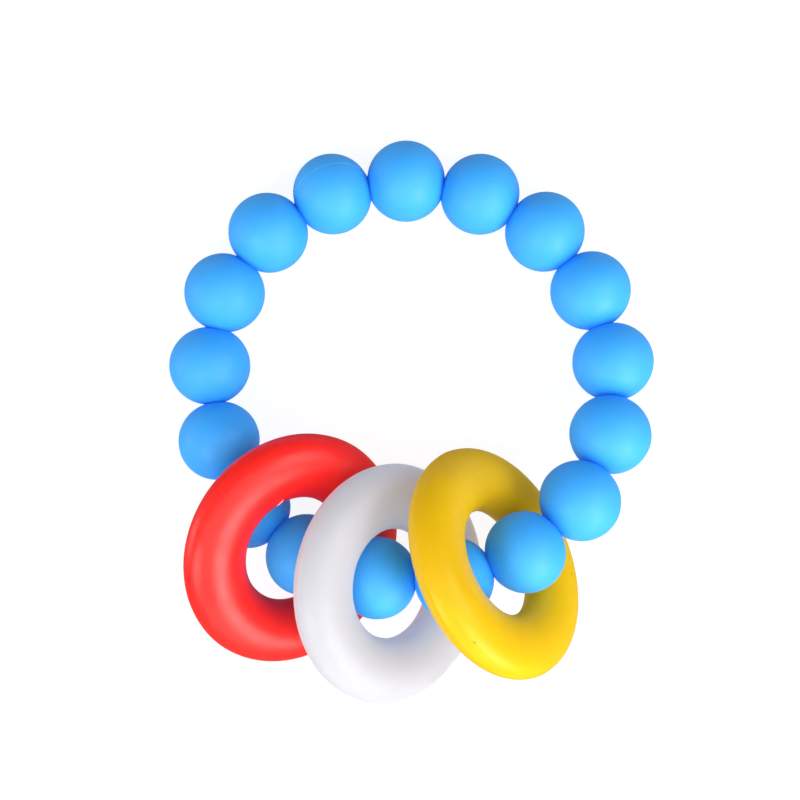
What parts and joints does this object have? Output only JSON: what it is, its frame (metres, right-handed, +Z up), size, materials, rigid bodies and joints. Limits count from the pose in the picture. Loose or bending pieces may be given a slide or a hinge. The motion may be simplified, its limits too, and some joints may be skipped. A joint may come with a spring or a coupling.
{
  "type": "teething ring",
  "caption": "Teething ring: a closed loop of round silicone beads on a knotted cord, with loose donut-shaped silicone rings threaded on it.",
  "frame": {"origin": "middle of the bead loop, on the table plane that the toy lies on", "axes": "+Z up from the table; the three rings lie towards -Y, and the cord leaves bead_01 clockwise seen from above"},
  "size_m": [0.0896, 0.1032, 0.0367],
  "materials": {
    "bead_silicone": "matte moulded silicone, sky blue",
    "red_silicone": "satin moulded silicone, red",
    "white_silicone": "satin moulded silicone, translucent white",
    "yellow_silicone": "semi-gloss moulded silicone, yellow",
    "cord": "braided nylon cord, knotted"
  },
  "bodies": {
    "cord_loop": {"cord": "cord", "knot": "cord"},
    "bead_01": {"bead_01": "bead_silicone"},
    "bead_02": {"bead_02": "bead_silicone"},
    "bead_03": {"bead_03": "bead_silicone"},
    "bead_04": {"bead_04": "bead_silicone"},
    "bead_05": {"bead_05": "bead_silicone"},
    "bead_06": {"bead_06": "bead_silicone"},
    "bead_07": {"bead_07": "bead_silicone"},
    "bead_08": {"bead_08": "bead_silicone"},
    "bead_09": {"bead_09": "bead_silicone"},
    "bead_10": {"bead_10": "bead_silicone"},
    "bead_11": {"bead_11": "bead_silicone"},
    "bead_12": {"bead_12": "bead_silicone"},
    "bead_13": {"bead_13": "bead_silicone"},
    "bead_14": {"bead_14": "bead_silicone"},
    "bead_15": {"bead_15": "bead_silicone"},
    "bead_16": {"bead_16": "bead_silicone"},
    "bead_17": {"bead_17": "bead_silicone"},
    "red_ring": {"red_ring": "red_silicone"},
    "white_ring": {"white_ring": "white_silicone"},
    "yellow_ring": {"yellow_ring": "yellow_silicone"}
  },
  "joints": [
    {"name": "axial_turn_red_ring", "type": "hinge", "parent": "cord_loop", "child": "red_ring", "pos_m": [-0.02152, -0.03084, 0.01429], "axis": [0.5235, -0.2779, 0.8054], "continuous": true},
    {"name": "axial_turn_white_ring", "type": "hinge", "parent": "cord_loop", "child": "white_ring", "pos_m": [-0.00364, -0.03711, 0.0156], "axis": [0.6638, -0.0415, 0.7468], "continuous": true},
    {"name": "axial_turn_yellow_ring", "type": "hinge", "parent": "cord_loop", "child": "yellow_ring", "pos_m": [0.01536, -0.03313, 0.01833], "axis": [0.7342, 0.3518, 0.5807], "continuous": true},
    {"name": "bead_01_spin", "type": "hinge", "parent": "cord_loop", "child": "bead_01", "pos_m": [-0.00079, 0.03683, 0.0075], "axis": [0.9999, -0.015, 0], "continuous": true},
    {"name": "bead_02_spin", "type": "hinge", "parent": "cord_loop", "child": "bead_02", "pos_m": [0.01295, 0.03439, 0.0075], "axis": [0.9438, -0.3305, 0], "continuous": true},
    {"name": "bead_03_spin", "type": "hinge", "parent": "cord_loop", "child": "bead_03", "pos_m": [0.02496, 0.02746, 0.0075], "axis": [0.7584, -0.6518, 0], "continuous": true},
    {"name": "bead_04_spin", "type": "hinge", "parent": "cord_loop", "child": "bead_04", "pos_m": [0.03342, 0.01653, 0.00761], "axis": [0.4414, -0.8972, 0.0154], "continuous": true},
    {"name": "bead_05_spin", "type": "hinge", "parent": "cord_loop", "child": "bead_05", "pos_m": [0.03745, 0.00333, 0.00904], "axis": [0.1296, -0.9737, 0.1875], "continuous": true},
    {"name": "bead_06_spin", "type": "hinge", "parent": "cord_loop", "child": "bead_06", "pos_m": [0.03667, -0.01008, 0.01242], "axis": [-0.2403, -0.9261, 0.2907], "continuous": true},
    {"name": "bead_07_spin", "type": "hinge", "parent": "cord_loop", "child": "bead_07", "pos_m": [0.03082, -0.02205, 0.0162], "axis": [-0.5882, -0.7704, 0.2459], "continuous": true},
    {"name": "bead_08_spin", "type": "hinge", "parent": "cord_loop", "child": "bead_08", "pos_m": [0.02073, -0.03124, 0.01839], "axis": [-0.8437, -0.5329, 0.0648], "continuous": true},
    {"name": "bead_09_spin", "type": "hinge", "parent": "cord_loop", "child": "bead_09", "pos_m": [0.00785, -0.03606, 0.01825], "axis": [-0.9848, -0.1516, -0.0852], "continuous": true},
    {"name": "bead_10_spin", "type": "hinge", "parent": "cord_loop", "child": "bead_10", "pos_m": [-0.00599, -0.03606, 0.01641], "axis": [-0.9729, 0.1507, -0.1756], "continuous": true},
    {"name": "bead_11_spin", "type": "hinge", "parent": "cord_loop", "child": "bead_11", "pos_m": [-0.01912, -0.03205, 0.01369], "axis": [-0.8846, 0.4169, -0.209], "continuous": true},
    {"name": "bead_12_spin", "type": "hinge", "parent": "cord_loop", "child": "bead_12", "pos_m": [-0.02948, -0.02358, 0.01088], "axis": [-0.5872, 0.7869, -0.1897], "continuous": true},
    {"name": "bead_13_spin", "type": "hinge", "parent": "cord_loop", "child": "bead_13", "pos_m": [-0.03536, -0.01125, 0.00868], "axis": [-0.2473, 0.9612, -0.1222], "continuous": true},
    {"name": "bead_14_spin", "type": "hinge", "parent": "cord_loop", "child": "bead_14", "pos_m": [-0.03716, 0.00262, 0.00766], "axis": [-0.008, 0.9997, -0.0225], "continuous": true},
    {"name": "bead_15_spin", "type": "hinge", "parent": "cord_loop", "child": "bead_15", "pos_m": [-0.03442, 0.01613, 0.0075], "axis": [0.398, 0.9174, 0], "continuous": true},
    {"name": "bead_16_spin", "type": "hinge", "parent": "cord_loop", "child": "bead_16", "pos_m": [-0.02634, 0.02726, 0.0075], "axis": [0.7487, 0.6629, 0], "continuous": true},
    {"name": "bead_17_spin", "type": "hinge", "parent": "cord_loop", "child": "bead_17", "pos_m": [-0.01445, 0.03444, 0.0075], "axis": [0.9353, 0.3539, 0], "continuous": true}
  ]
}
